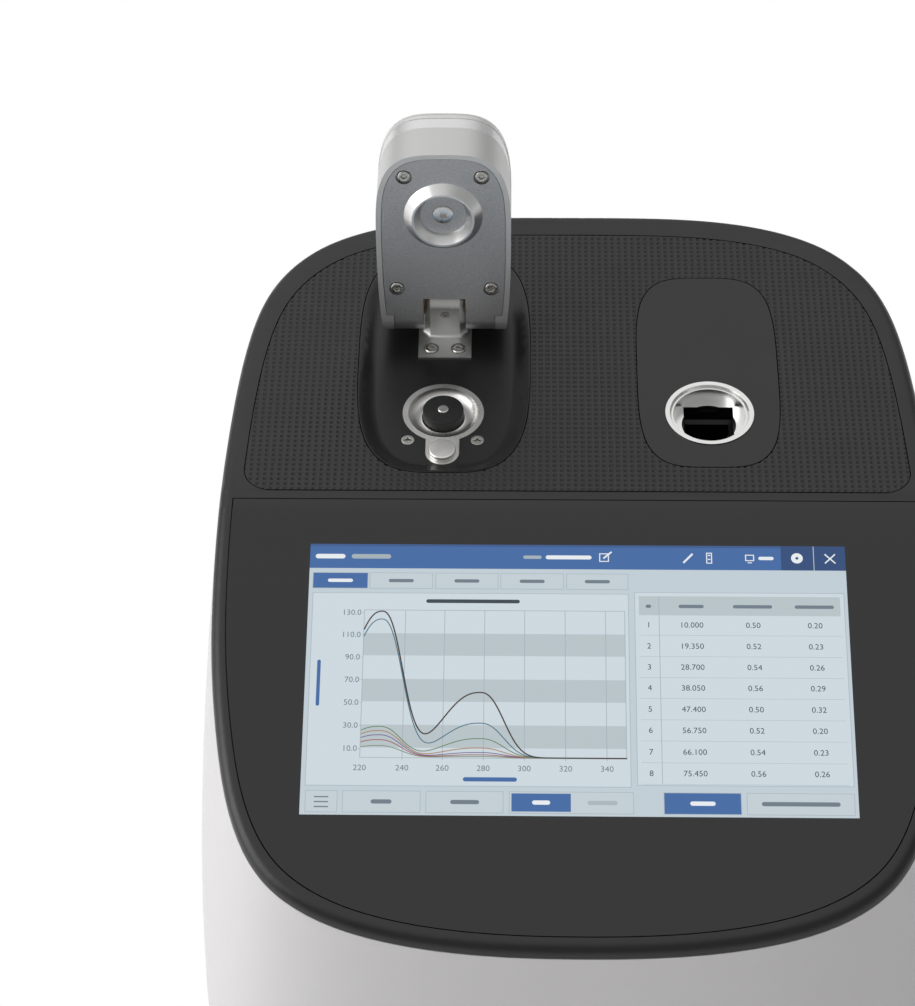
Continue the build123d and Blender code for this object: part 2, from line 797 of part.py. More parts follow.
def arm_frame():
    plate_back = underside - arm_plate_thick - arm_plate_sink
    frame = arm_block(0, frame_end, underside)
    frame -= prism(arm_outline(arm_wall), frame_end - 1, underside + 1) & arm_side(arm_wall)
    room = prism(arm_outline(arm_wall - 0.5), frame_end + 2, plate_back) & arm_side(arm_wall - 0.5)
    ledge = room - prism(arm_outline(arm_wall + 1.3), frame_end, underside)
    frame += ledge & box_between(-arm_half_width, arm_half_width, -arm_heel, 2 * arm_tip, plate_back - 1.6, plate_back)
    inner = arm_notch / 2
    ears = box_between(inner, inner + ear_width, -arm_heel, arm_notch_top, -ear_depth, plate_back)
    ears += mirror(ears, Plane.YZ)
    frame += ears & room
    for x, s in arm_screw_places():
        frame += rod(x, s, plate_back - arm_screw_length, plate_back, boss_radius) & room
    frame -= plate_space(0.15)
    frame -= arm_notch_space(0)
    frame -= Rot(0, 90, 0) * Cylinder(pin_radius + bush_wall + 0.01, 4 * arm_half_width - 2 * arm_wall) \
        & box_between(-inner - ear_width, inner + ear_width, -arm_heel, arm_heel, -ear_depth, underside)
    for x, s in arm_screw_places():
        frame -= rod(x, s, plate_back - arm_screw_length, underside, screw_shank + running_gap)
    return arm_plane.location * frame


def arm_plate():
    plate = plate_space(0)
    plate -= arm_notch_space(-0.1)
    plate -= rod(0, hinge_from_pedestal, 0, 2 * underside, head_stem + 0.1)
    for x, s in arm_screw_places():
        plate -= rod(x, s, 0, 2 * underside, screw_shank + running_gap)
        plate -= rod(x, s, underside - arm_plate_sink - 1.2, 2 * underside, arm_screw_head + 0.4)
    return arm_plane.location * plate


def arm_plate_screws():
    low = underside - arm_plate_sink - 1.2
    screws = []
    for x, s in arm_screw_places():
        head = rod(x, s, low, low + 1.2, arm_screw_head)
        head = fillet(head.edges().sort_by(Axis.Z)[-1], 0.5)
        screws.append(arm_plane.location * (head + rod(x, s, low - arm_screw_length + 1, low, screw_shank)))
    return Compound(children=screws)


def arm_band():
    band = arm_block(0.15, band_end, frame_end)
    band -= prism(arm_outline(arm_wall + 0.8), band_end - 1, frame_end + 1)
    return arm_plane.location * (band - arm_notch_space(0))


def arm_cover():
    cover = prism(arm_outline(0), cover_end, band_end)
    cover = fillet(cover.faces().sort_by(Axis.Z)[0].edges(), arm_cover_round)
    cover = cover & arm_side(0)
    cover -= prism(arm_outline(arm_wall + arm_cover_round), cover_end + arm_wall, band_end + 1)
    return arm_plane.location * cover


def hinge_bushes():
    inner = arm_notch / 2
    bushes = []
    for side in (-1, 1):
        barrel = Pos(side * (inner + ear_width / 2), 0, 0) * Rot(0, 90, 0) * Cylinder(pin_radius + bush_wall, ear_width)
        thick = inner - neck_width / 2 - 0.1
        flange = Pos(side * (inner - thick / 2), 0, 0) * Rot(0, 90, 0) * Cylinder(bush_flange_radius, thick)
        bush = barrel + flange - Rot(0, 90, 0) * Cylinder(pin_radius + running_gap, 4 * pin_length)
        bushes.append(arm_plane.location * bush)
    return Compound(children=bushes)


def optic_cup():
    """Bright cone that closes round the sample, with its stem through the plate."""
    base = underside - arm_plate_sink
    rim = base + head_height
    floor = rim - head_depth
    stem_end = floor - disc_thick - 1.5
    half = make_face(Polyline(
        (arm_ferrule_radius + 0.05, stem_end), (head_stem, stem_end), (head_stem, base), (head_radius, base),
        (head_rim_radius, rim), (head_rim_inner, rim), (head_floor_radius, floor),
        (head_floor_radius, floor - disc_thick), (arm_ferrule_radius + 0.05, floor - disc_thick),
        (arm_ferrule_radius + 0.05, stem_end)))
    cup = revolve(Plane.XZ * half, Axis.Z)
    return arm_plane.location * Pos(0, hinge_from_pedestal, 0) * cup


def optic_disc():
    top = underside - arm_plate_sink + head_height - head_depth
    disc = rod(0, 0, top - disc_thick, top, head_floor_radius - 0.02)
    disc -= rod(0, 0, top - 2 * disc_thick, top + 1, arm_ferrule_radius + 0.05)
    return arm_plane.location * Pos(0, hinge_from_pedestal, 0) * disc


def arm_ferrule():
    top = underside - arm_plate_sink + head_height - head_depth
    tip = top + arm_ferrule_rise
    stem_end = top - disc_thick - 1.5
    ferrule = rod(0, 0, stem_end - 1, tip, arm_ferrule_radius)
    ferrule = fillet(ferrule.edges().sort_by(Axis.Z)[-1], 0.4)
    ferrule += rod(0, 0, stem_end - 1.5, stem_end, arm_ferrule_radius + 1.0)
    ferrule += rod(0, 0, stem_end - 6, stem_end, arm_ferrule_radius - 1.0)
    ferrule -= rod(0, 0, tip - 1.2, tip + 1, arm_ferrule_hole)
    return arm_plane.location * Pos(0, hinge_from_pedestal, 0) * ferrule


def cuvette_pad():
    pad = insert(cuvette_pad_plan(0), cuvette_pad_plan(insert_flange))
    return pad - rod(cuvette_x, port_y, 0, 2 * panel_height, port_radius + 0.1)


def port_opening():
    """Square mouth with four shallow round reliefs."""
    return Rectangle(port_mouth, port_mouth) + Circle(port_relief_radius)


def cuvette_ring():
    """Turned cup: flat rim, bevel, small ledge, straight wall and thin floor."""
    top = panel_height + port_rise
    floor = top - port_floor
    inner = port_radius - port_rim
    ledge = inner - port_bevel
    wall_radius = ledge - 0.5
    half = make_face(Polyline(
        (0, floor - port_floor_thick), (port_radius, floor - port_floor_thick), (port_radius, top), (inner, top),
        (ledge, top - port_ledge), (wall_radius, top - port_ledge), (wall_radius, floor), (0, floor),
        (0, floor - port_floor_thick)))
    ring = revolve(Plane.XZ * half, Axis.Z)
    ring = fillet(ring.edges().filter_by(GeomType.CIRCLE).sort_by(Axis.Z)[-1], 0.1)
    ring -= prism(port_opening(), insert_bottom - 1, top)
    return Pos(cuvette_x, port_y, 0) * ring


def cuvette_holder():
    """Black block with the square well, its round reliefs and the light beam."""
    top = insert_bottom
    bottom = top - well_depth - 5
    holder = box_between(-holder_width / 2, holder_width / 2, -holder_width / 2, holder_width / 2, bottom, top)
    holder += box_between(-holder_flange / 2, holder_flange / 2, -holder_width / 2, holder_width / 2,
                          top - holder_flange_thick, top)
    seat = panel_height + port_rise - port_floor - port_floor_thick
    holder += rod(0, 0, top, seat, port_radius)
    half = well_width / 2
    holder -= box_between(-half, half, -half, half, top - well_depth, panel_height)
    holder -= prism(port_opening(), seat - 1.2, seat)
    square = Rectangle(port_mouth, port_mouth)
    narrow = Rectangle(well_width, well_width)
    holder -= prism(square, top - well_mouth_depth + 1, seat)
    holder -= loft([Pos(0, 0, top - well_mouth_depth) * narrow, Pos(0, 0, top - well_mouth_depth + 1) * square])
    beam_z = top - well_depth + beam_height
    holder -= Pos(0, 0, beam_z) * Rot(0, 90, 0) * Cylinder(beam_radius, 2 * holder_width)
    return Pos(cuvette_x, port_y, 0) * holder


def standoff_places():
    return [(x, board_y + y) for x in (-board_width / 2 + 6, board_width / 2 - 6)
            for y in (-board_depth / 2 + 6, board_depth / 2 - 6)]


def board_standoffs():
    low = base_z + base_thick
    return Compound(children=[rod(x, y, low, low + board_lift, standoff_radius) for x, y in standoff_places()])


def main_board():
    low = base_z + base_thick + board_lift
    board = box_between(-board_width / 2, board_width / 2, board_y - board_depth / 2, board_y + board_depth / 2,
                        low, low + board_thick)
    top = low + board_thick
    board += box_between(-30, 10, board_y - 25, board_y + 15, top, top + 6)
    board += box_between(30, 55, board_y - 40, board_y - 20, top, top + 3)
    board += box_between(-65, -45, board_y + 10, board_y + 40, top, top + 9)
    return board


def optics_deck():
    """Folded sheet deck that stands on the base plate over the board."""
    low = base_z + base_thick
    half = deck_width / 2
    front = deck_y - deck_depth / 2
    back = deck_y + deck_depth / 2
    deck = box_between(-half, half, front, back, low, deck_z)
    deck -= box_between(-half + deck_thick, half - deck_thick, front - 1, back + 1, low - 1, deck_z - deck_thick)
    for side in (-1, 1):
        x = side * half
        deck += box_between(min(x, x - side * 10), max(x, x - side * 10), front, back, low, low + deck_thick)
    deck -= rod(-deck_width / 2 + 30, deck_y, low, 2 * deck_z, 8)
    return deck


def spectrometer():
    """Closed optical box with a bevelled corner and a stepped lid."""
    half_w = spectrometer_width / 2
    half_d = spectrometer_depth / 2
    plan = make_face(Polyline((-half_w, -half_d), (half_w, -half_d), (half_w, half_d - 20), (half_w - 20, half_d),
                              (-half_w, half_d), (-half_w, -half_d)))
    box = prism(plan, deck_z, deck_z + spectrometer_height)
    lid = prism(offset(plan, -3), deck_z + spectrometer_height, deck_z + spectrometer_height + 2)
    return Pos(-34, -12, 0) * (box + lid)


def flash_lamp():
    """Xenon lamp module: finned block with the round lamp housing in front."""
    block = box_between(-lamp_width / 2, lamp_width / 2, -lamp_depth / 2, lamp_depth / 2, deck_z, deck_z + lamp_height)
    for index in range(6):
        x = (index - 2.5) * 6
        block -= box_between(x - 1.5, x + 1.5, -lamp_depth, lamp_depth, deck_z + lamp_height - 8, deck_z + 2 * lamp_height)
    block += Pos(0, -lamp_depth / 2 - 6, deck_z + 12) * Rot(90, 0, 0) * Cylinder(9, 12)
    return Pos(48, -8, 0) * block


def rear_panel():
    half = panel_window_width / 2 + panel_border
    low = panel_window_low - panel_border
    high = panel_window_low + panel_window_height + panel_border
    plate = box_between(-half, half, panel_face - panel_thick, panel_face, low, high)
    plate -= socket_hole(switch_x, switch_width, switch_height)
    plate -= socket_hole(inlet_x, inlet_size, inlet_size)
    for z in usb_heights():
        plate -= Pos(usb_x, panel_face, z) * Box(usb_width + 0.2, 4 * panel_thick, usb_height + 0.2)
    plate -= socket_hole(network_x, network_width, network_height)
    return plate


def socket_hole(x, width, height):
    return Pos(x, panel_face, connector_z) * Box(width + 0.2, 4 * panel_thick, height + 0.2)


def socket_body(x, z, width, height):
    """Block through the panel with a collar that seats on its inner face."""
    front = panel_face + socket_proud
    body = box_between(x - width / 2, x + width / 2, front - socket_depth, front, z - height / 2, z + height / 2)
    collar = box_between(x - width / 2 - 1, x + width / 2 + 1, panel_face - panel_thick - 2,
                         panel_face - panel_thick, z - height / 2 - 0.8, z + height / 2 + 0.8)
    return body + collar


def power_switch():
    front = panel_face
    body = box_between(-switch_width / 2, switch_width / 2, -switch_depth, 0, -switch_height / 2, switch_height / 2)
    bezel = box_between(-switch_width / 2 - 1.5, switch_width / 2 + 1.5, 0, switch_bezel,
                        -switch_height / 2 - 1.5, switch_height / 2 + 1.5)
    room = box_between(-switch_width / 2 + 2, switch_width / 2 - 2, -rocker_room(), 2 * switch_bezel,
                       -switch_height / 2 + 1.2, switch_height / 2 - 1.2)
    pin = Cylinder(rocker_pin_radius + running_gap, switch_height - 2.4 + 2 * rocker_pin_reach + 0.1)
    return Pos(switch_x, front, connector_z) * (body + bezel - room - pin)


def rocker_room():
    return 6.0


def power_rocker():
    """Rocker on a horizontal axis across the switch; it tips to either side."""
    half = switch_width / 2 - 2 - rocker_clearance
    height = switch_height - 2.4 - 2 * rocker_clearance
    tip = math.tan(math.radians(rocker_tilt)) * half
    face = make_face(Polyline((-half, tip + switch_bezel), (0, switch_bezel - 0.3), (half, tip + switch_bezel),
                              (half - 1.8, -2.6), (-half + 1.8, -2.6), (-half, tip + switch_bezel)))
    rocker = extrude(face, amount=height / 2, both=True)
    rocker = Rot(0, 0, rocker_tilt) * rocker
    rocker += Cylinder(rocker_pin_radius, switch_height - 2.4 + 2 * rocker_pin_reach)
    return Pos(switch_x, panel_face, connector_z) * rocker


def dc_inlet():
    inlet = socket_body(inlet_x, connector_z, inlet_size, inlet_size)
    front = panel_face + socket_proud
    bore = Pos(inlet_x, front - 5, connector_z) * Rot(90, 0, 0) * Cylinder(inlet_radius, 10.01)
    pin = Pos(inlet_x, front - 6, connector_z) * Rot(90, 0, 0) * Cylinder(inlet_pin, 10)
    return inlet - bore + pin


def usb_heights():
    return (connector_z - usb_gap / 2, connector_z + usb_gap / 2)


def usb_sockets():
    sockets = []
    front = panel_face + socket_proud
    for z in usb_heights():
        shell = box_between(usb_x - usb_width / 2, usb_x + usb_width / 2, front - socket_depth, front,
                            z - usb_height / 2, z + usb_height / 2)
        shell -= Pos(usb_x, front, z) * Box(usb_width - 2, 20, usb_opening)
        shell += Pos(usb_x, front - 6.5, z + 0.8) * Box(usb_width - 2, 9, usb_tongue)
        collar = box_between(usb_x - usb_width / 2 - 1, usb_x + usb_width / 2 + 1, panel_face - panel_thick - 2,
                             panel_face - panel_thick, z - usb_height / 2, z + usb_height / 2)
        collar -= Pos(usb_x, front, z) * Box(usb_width - 2, 20, usb_opening)
        sockets.append(shell + collar)
    return Compound(children=sockets)


def network_socket():
    socket = socket_body(network_x, connector_z, network_width, network_height)
    front = panel_face + socket_proud
    socket -= Pos(network_x, front, connector_z - 0.6) * Box(network_opening, 22, network_opening_height)
    return socket


sub_parts = {
    "lower_housing": lower_housing,
    "base_plate": base_plate,
    "rubber_feet": rubber_feet,
    "base_screws": base_screws,
    "upper_shell": upper_shell,
    "grip_pad": grip_pad,
    "display_glass": display_glass,
    "display_module": display_module,
    "display_bracket": display_bracket,
    "sample_tray": sample_tray,
    "pedestal_plate": pedestal_plate,
    "pedestal_puck": pedestal_puck,
    "sample_ferrule": sample_ferrule,
    "rest_button": rest_button,
    "tray_screws": tray_screws,
    "path_actuator": path_actuator,
    "lift_carriage": lift_carriage,
    "hinge_bracket": hinge_bracket,
    "bracket_screws": bracket_screws,
    "hinge_pin": hinge_pin,
    "hinge_grub_screw": hinge_grub_screw,
    "hinge_bushes": hinge_bushes,
    "arm_frame": arm_frame,
    "arm_plate": arm_plate,
    "arm_plate_screws": arm_plate_screws,
    "arm_band": arm_band,
    "arm_cover": arm_cover,
    "optic_cup": optic_cup,
    "optic_disc": optic_disc,
    "arm_ferrule": arm_ferrule,
    "cuvette_pad": cuvette_pad,
    "cuvette_ring": cuvette_ring,
    "cuvette_holder": cuvette_holder,
    "board_standoffs": board_standoffs,
    "main_board": main_board,
    "optics_deck": optics_deck,
    "spectrometer": spectrometer,
    "flash_lamp": flash_lamp,
    "rear_panel": rear_panel,
    "power_switch": power_switch,
    "power_rocker": power_rocker,
    "dc_inlet": dc_inlet,
    "usb_sockets": usb_sockets,
    "network_socket": network_socket,
}

os.makedirs("parts", exist_ok=True)
for name, make in sub_parts.items():
    export_step(make(), "parts/" + name + ".step")
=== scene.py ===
import json
import math

import bpy
import numpy as np
from mathutils import Matrix, Vector


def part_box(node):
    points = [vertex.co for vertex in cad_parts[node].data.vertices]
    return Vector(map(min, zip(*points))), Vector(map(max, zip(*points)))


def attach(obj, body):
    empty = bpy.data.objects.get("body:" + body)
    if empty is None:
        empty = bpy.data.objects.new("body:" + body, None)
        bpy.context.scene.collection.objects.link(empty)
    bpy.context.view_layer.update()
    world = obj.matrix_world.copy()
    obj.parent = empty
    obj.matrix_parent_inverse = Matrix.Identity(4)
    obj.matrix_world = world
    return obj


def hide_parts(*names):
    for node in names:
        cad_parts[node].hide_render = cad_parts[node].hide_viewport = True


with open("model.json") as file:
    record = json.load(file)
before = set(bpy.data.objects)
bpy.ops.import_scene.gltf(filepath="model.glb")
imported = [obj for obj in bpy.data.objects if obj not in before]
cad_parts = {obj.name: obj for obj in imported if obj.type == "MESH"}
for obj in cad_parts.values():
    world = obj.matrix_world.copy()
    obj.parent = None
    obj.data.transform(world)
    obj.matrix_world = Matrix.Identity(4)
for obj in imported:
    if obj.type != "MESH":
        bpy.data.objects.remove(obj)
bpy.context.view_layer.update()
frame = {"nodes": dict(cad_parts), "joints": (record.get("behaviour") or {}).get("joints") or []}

MM = 0.001
nodes = frame["nodes"]


# The viewpoint: a long lens above and in front of the instrument, looking down
# on the screen and the top at about 46 degrees.
LOOK_DOWN = math.radians(46.43)
LOOK_TURN = math.radians(1.55)
LOOK_ROLL = math.radians(-0.83)
CAMERA_PLACE = Vector((-17.65, -630.64, 831.41)) * MM
CAMERA_LENS = 113.0


def camera_matrix():
    """Camera axes from pitch, turn about Z and roll, as one matrix."""
    forward = Vector((0, math.cos(LOOK_DOWN), -math.sin(LOOK_DOWN)))
    up = Vector((0, math.sin(LOOK_DOWN), math.cos(LOOK_DOWN)))
    turn = Matrix.Rotation(LOOK_TURN, 3, "Z")
    right = turn @ Vector((1, 0, 0))
    forward = turn @ forward
    up = turn @ up
    across = math.cos(LOOK_ROLL) * right + math.sin(LOOK_ROLL) * up
    upward = -math.sin(LOOK_ROLL) * right + math.cos(LOOK_ROLL) * up
    axes = Matrix((across, upward, -forward)).transposed()
    return Matrix.Translation(CAMERA_PLACE) @ axes.to_4x4()


camera_data = bpy.data.cameras.new("viewpoint")
camera_data.sensor_fit = "AUTO"
camera_data.sensor_width = 36.0
camera_data.lens = CAMERA_LENS
camera_data.clip_start = 0.05
camera_data.clip_end = 20.0
camera = bpy.data.objects.new("viewpoint", camera_data)
bpy.context.scene.collection.objects.link(camera)
camera.matrix_world = camera_matrix()
bpy.context.scene.camera = camera
bpy.context.scene.view_settings.view_transform = "Standard"


# The studio: a white bench, a wide soft ceiling a little behind the instrument,
# and a soft lamp on the left. The room in front is dim, so black parts stay black.
FLOOR_HALF = 4.0
CEILING_AIM = Vector((-0.25, 0.35, 0.9)).normalized()
CEILING_EDGE = 0.42
CEILING_FULL = 0.95
CEILING_LIGHT = 1.0
ROOM_LIGHT = 0.36
KEY_SIZE = 1.2
KEY_POWER = 11.0
KEY_PLACE = Vector((-1.25, -0.15, 0.75))
KEY_AIM = Vector((0.0, 0.0, 0.1))


def linear(hex_colour):
    """The linear colour of an sRGB hex value, channel by channel."""
    channels = []
    for start in (0, 2, 4):
        value = int(hex_colour[start:start + 2], 16) / 255
        channels.append(value / 12.92 if value <= 0.04045 else ((value + 0.055) / 1.055) ** 2.4)
    return (*channels, 1.0)


def add_node(tree, kind, settings=None, inputs=None):
    """Adds a shader node, sets its properties, and feeds each input a value or a link."""
    node = tree.nodes.new(kind)
    for key, value in (settings or {}).items():
        setattr(node, key, value)
    for key, value in (inputs or {}).items():
        if isinstance(value, bpy.types.NodeSocket):
            tree.links.new(value, node.inputs[key])
        else:
            node.inputs[key].default_value = value
    return node


def room_world():
    """White to the eye. As light it is a bright ceiling that fades to a dim room."""
    world = bpy.data.worlds.new("white_room")
    bpy.context.scene.world = world
    world.use_nodes = True
    tree = world.node_tree
    tree.nodes.clear()
    white = linear("FFFFFF")
    path = add_node(tree, "ShaderNodeLightPath")
    way = add_node(tree, "ShaderNodeTexCoord")
    rise = add_node(tree, "ShaderNodeVectorMath", {"operation": "DOT_PRODUCT"},
                    {0: way.outputs["Generated"], 1: CEILING_AIM})
    level = add_node(tree, "ShaderNodeMapRange", {"interpolation_type": "SMOOTHSTEP"},
                     {"Value": rise.outputs["Value"], "From Min": CEILING_EDGE, "From Max": CEILING_FULL,
                      "To Min": ROOM_LIGHT, "To Max": CEILING_LIGHT})
    fill = add_node(tree, "ShaderNodeBackground", None,
                    {"Color": white, "Strength": level.outputs["Result"]})
    seen = add_node(tree, "ShaderNodeBackground", None, {"Color": white, "Strength": 1.0})
    mix = add_node(tree, "ShaderNodeMixShader", None,
                   {0: path.outputs["Is Camera Ray"], 1: fill.outputs[0], 2: seen.outputs[0]})
    add_node(tree, "ShaderNodeOutputWorld", None, {"Surface": mix.outputs[0]})


def bench_finish():
    """White laminate that the eye sees as pure white, and that lights the part as a bench does."""
    material = bpy.data.materials.new("white_laminate")
    material.use_nodes = True
    tree = material.node_tree
    shader = tree.nodes["Principled BSDF"]
    shader.inputs["Base Color"].default_value = linear("F4F4F4")
    shader.inputs["Roughness"].default_value = 0.6
    path = add_node(tree, "ShaderNodeLightPath")
    white = add_node(tree, "ShaderNodeEmission", None, {"Color": linear("FFFFFF"), "Strength": 1.0})
    mix = add_node(tree, "ShaderNodeMixShader", None,
                   {0: path.outputs["Is Camera Ray"], 1: shader.outputs[0], 2: white.outputs[0]})
    tree.links.new(mix.outputs[0], tree.nodes["Material Output"].inputs["Surface"])
    return material


room_world()
floor_mesh = bpy.data.meshes.new("bench_top")
corners = [(-FLOOR_HALF, -FLOOR_HALF, 0), (FLOOR_HALF, -FLOOR_HALF, 0), (FLOOR_HALF, FLOOR_HALF, 0),
           (-FLOOR_HALF, FLOOR_HALF, 0)]
floor_mesh.from_pydata(corners, [], [(0, 1, 2, 3)])
floor = bpy.data.objects.new("bench_top", floor_mesh)
bpy.context.scene.collection.objects.link(floor)
floor_mesh.materials.append(bench_finish())

key_data = bpy.data.lights.new("soft_key", "AREA")
key_data.shape = "SQUARE"
key_data.size = KEY_SIZE
key_data.energy = KEY_POWER
key = bpy.data.objects.new("soft_key", key_data)
bpy.context.scene.collection.objects.link(key)
key.location = KEY_PLACE
key.rotation_mode = "QUATERNION"
key.rotation_quaternion = (KEY_AIM - KEY_PLACE).to_track_quat("-Z", "Y")


# Lower housing: one flared shell of light grey ABS, moulded in a tool with a
# fine spark-eroded face, so it is matt with a faint grain.
FOLD_ANGLE = math.radians(35)
WELD_DISTANCE = 0.001 * MM
NOISE_LOW = 0.3
NOISE_HIGH = 0.7
GRAINS_PER_PATCH = 40


def finish(name, colour, roughness, metallic=0.0, grain=0.3, speck=0.0, uneven=0.0, relief=0.0,
           sockets=None):
    """Principled finish with one grain, its size in mm: noise darkens and lightens the colour by
    speck, noise of wider patches moves the roughness by uneven, and the face rises by relief in mm."""
    material = bpy.data.materials.new(name)
    material.use_nodes = True
    tree = material.node_tree
    shader = tree.nodes["Principled BSDF"]
    shader.inputs["Base Color"].default_value = linear(colour)
    shader.inputs["Roughness"].default_value = roughness
    shader.inputs["Metallic"].default_value = metallic
    for key, value in (sockets or {}).items():
        shader.inputs[key].default_value = value
    if not (speck or uneven or relief):
        return material
    place = add_node(tree, "ShaderNodeTexCoord")
    noise = add_node(tree, "ShaderNodeTexNoise", None,
                     {"Vector": place.outputs["Object"], "Scale": 1 / (grain * MM), "Detail": 3.0})
    if speck:
        base = Vector(linear(colour)[:3])
        dark = (*(base * (1 - speck)), 1.0)
        light = (*(min(1.0, part * (1 + speck)) for part in base), 1.0)
        share = add_node(tree, "ShaderNodeMapRange", None,
                         {"Value": noise.outputs["Fac"], "From Min": NOISE_LOW, "From Max": NOISE_HIGH})
        tint = add_node(tree, "ShaderNodeMix", {"data_type": "RGBA"},
                        {0: share.outputs["Result"], 6: dark, 7: light})
        tree.links.new(tint.outputs[2], shader.inputs["Base Color"])
    if uneven:
        wide = add_node(tree, "ShaderNodeTexNoise", None,
                        {"Vector": place.outputs["Object"], "Scale": 1 / (GRAINS_PER_PATCH * grain * MM),
                         "Detail": 4.0})
        gloss = add_node(tree, "ShaderNodeMapRange", None,
                         {"Value": wide.outputs["Fac"], "From Min": NOISE_LOW, "From Max": NOISE_HIGH,
                          "To Min": roughness - uneven, "To Max": roughness + uneven})
        tree.links.new(gloss.outputs["Result"], shader.inputs["Roughness"])
    if relief:
        bump = add_node(tree, "ShaderNodeBump", None,
                        {"Height": noise.outputs["Fac"], "Strength": 1.0, "Distance": relief * MM})
        tree.links.new(bump.outputs["Normal"], shader.inputs["Normal"])
    return material


def wear(material, *names):
    """Gives frame nodes a finish, welds their facets and shades their curves smooth."""
    for name in names:
        piece = nodes[name]
        piece.data.materials.clear()
        piece.data.materials.append(material)
        piece.data.shade_smooth()
        weld = piece.modifiers.new("weld", "WELD")
        weld.merge_threshold = WELD_DISTANCE
        split = piece.modifiers.new("folds", "EDGE_SPLIT")
        split.split_angle = FOLD_ANGLE
        split.use_edge_sharp = False


# Matt moulded ABS: a broad soft sheen and a grain that shows only close up.
wear(finish("abs_light_grey", "D6D4D5", 0.46, grain=0.35, speck=0.02, uneven=0.04, relief=0.012),
     "lower_housing")


# Base: a zinc-plated steel sheet, six screws and four moulded rubber feet.
# The same sheet is folded into the display bracket and the optics deck.
wear(finish("zinc_plated_sheet", "A9ABAD", 0.36, 1.0, grain=3.0, speck=0.10, uneven=0.08), "base_plate",
     "display_bracket", "optics_deck")
wear(finish("nitrile_rubber", "1A1A1B", 0.72, grain=0.4, speck=0.08, relief=0.02), "rubber_feet")
stainless = finish("stainless_screw_steel", "C4C2BD", 0.24, 1.0, grain=0.15, speck=0.04, uneven=0.05)
wear(stainless, "base_screws", "board_standoffs")


# Upper shell: one piece of black ABS from rim to rim, moulded with a satin face.
# The tray, the cuvette pad and the rear panel are moulded in the same plastic.
wear(finish("abs_black_satin", "151516", 0.36, grain=0.3, speck=0.06, uneven=0.04, relief=0.006),
     "upper_shell", "rear_panel")
wear(finish("abs_black_fine", "121213", 0.33, grain=0.25, speck=0.06, uneven=0.03, relief=0.004),
     "sample_tray", "cuvette_pad")


# Grip pad: black elastomer sheet, embossed by a roller with rows of small square
# pits, each an upside-down pyramid, and cut to the shape of the flat top.
PIT_PITCH = np.array([2.0755, 1.961])
PIT_HALF = np.array([0.70, 0.62])
PIT_DEPTH = 0.34
ROW_LINE_FROM_SEAM = -1.49
PAD_THICK = 1.5
PAD_CUT_ABOVE = 1.0
SHEET_MARGIN = 1.0
SHEET_UNDER = 4.0
SEAT_GAP = 0.3
WIDEST_AHEAD = 27.6
BACK_REACH = 151.8
CURL_LENGTH = 14.0
CURL_RISE = 2.2
CURL_RADIUS = (CURL_LENGTH**2 + CURL_RISE**2) / (2 * CURL_RISE)


def add_piece(name, points, faces, materials, body, smooth=False, part_of=None):
    """Mesh object from points in mm and faces, riding on a body and finished with the given materials."""
    mesh = bpy.data.meshes.new(name)
    mesh.from_pydata((np.asarray(points) * MM).tolist(), [], [list(face) for face in faces])
    for material in materials:
        mesh.materials.append(material)
    if part_of is not None:
        mesh.polygons.foreach_set("material_index", part_of)
    mesh.polygons.foreach_set("use_smooth", [smooth] * len(mesh.polygons))
    mesh.update()
    piece = bpy.data.objects.new(name, mesh)
    bpy.context.scene.collection.objects.link(piece)
    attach(piece, body)
    return piece


def node_box(name):
    """Lowest and highest corners of a frame node, in mm."""
    low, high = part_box(name)
    return np.array(low) / MM, np.array(high) / MM


def curl_height(y, start, radius):
    """Rise of the top behind the line where it starts to curl: a circular arc."""
    behind = np.clip(y - start, 0, None)
    return radius - np.sqrt(radius**2 - behind**2)


def pit_sheet(low, high, top, curl_start, curl_radius, bottom):
    """Closed slab whose top is a lattice of pits. Each cell has its four shared corners,
    four corners of the pit's mouth and the pit's deepest point."""
    columns, rows = np.ceil((high - low) / PIT_PITCH).astype(int) + 1
    along_x = low[0] + PIT_PITCH[0] * np.arange(columns + 1)
    along_y = low[1] + PIT_PITCH[1] * np.arange(rows + 1)
    lattice = np.stack(np.meshgrid(along_x, along_y), axis=-1).reshape(-1, 2)
    across, ahead = np.meshgrid(along_x[:-1] + PIT_PITCH[0] / 2, along_y[:-1] + PIT_PITCH[1] / 2)
    middle = np.column_stack([across.ravel(), ahead.ravel()])
    mouth = [middle + PIT_HALF * np.array(side) for side in ((-1, -1), (1, -1), (1, 1), (-1, 1))]
    flat = np.concatenate([lattice, *mouth, middle])
    height = top + curl_height(flat[:, 1], curl_start, curl_radius)
    deepest = len(lattice) + 4 * len(middle)
    height[deepest:] -= PIT_DEPTH
    points = np.column_stack([flat, height])
    cell = np.arange(columns * rows)
    corner = (cell // columns) * (columns + 1) + cell % columns
    outer = np.stack([corner, corner + 1, corner + columns + 2, corner + columns + 1])
    inner = np.stack([len(lattice) + side * len(middle) + cell for side in range(4)])
    faces = []
    for side in range(4):
        after = (side + 1) % 4
        faces += np.column_stack([outer[side], outer[after], inner[after], inner[side]]).tolist()
        faces += np.column_stack([inner[side], inner[after], deepest + cell]).tolist()
    front = np.arange(columns)
    right = columns + (columns + 1) * np.arange(rows)
    back = (columns + 1) * rows + np.arange(columns, 0, -1)
    left = (columns + 1) * np.arange(rows, 0, -1)
    edge = np.concatenate([front, right, back, left])
    under = len(points) + np.arange(len(edge))
    points = np.concatenate([points, np.column_stack([flat[edge], np.full(len(edge), bottom)])])
    around = np.roll(np.arange(len(edge)), -1)
    faces += np.column_stack([edge[around], edge, under, under[around]]).tolist()
    faces.append(under[::-1].tolist())
    return points, faces


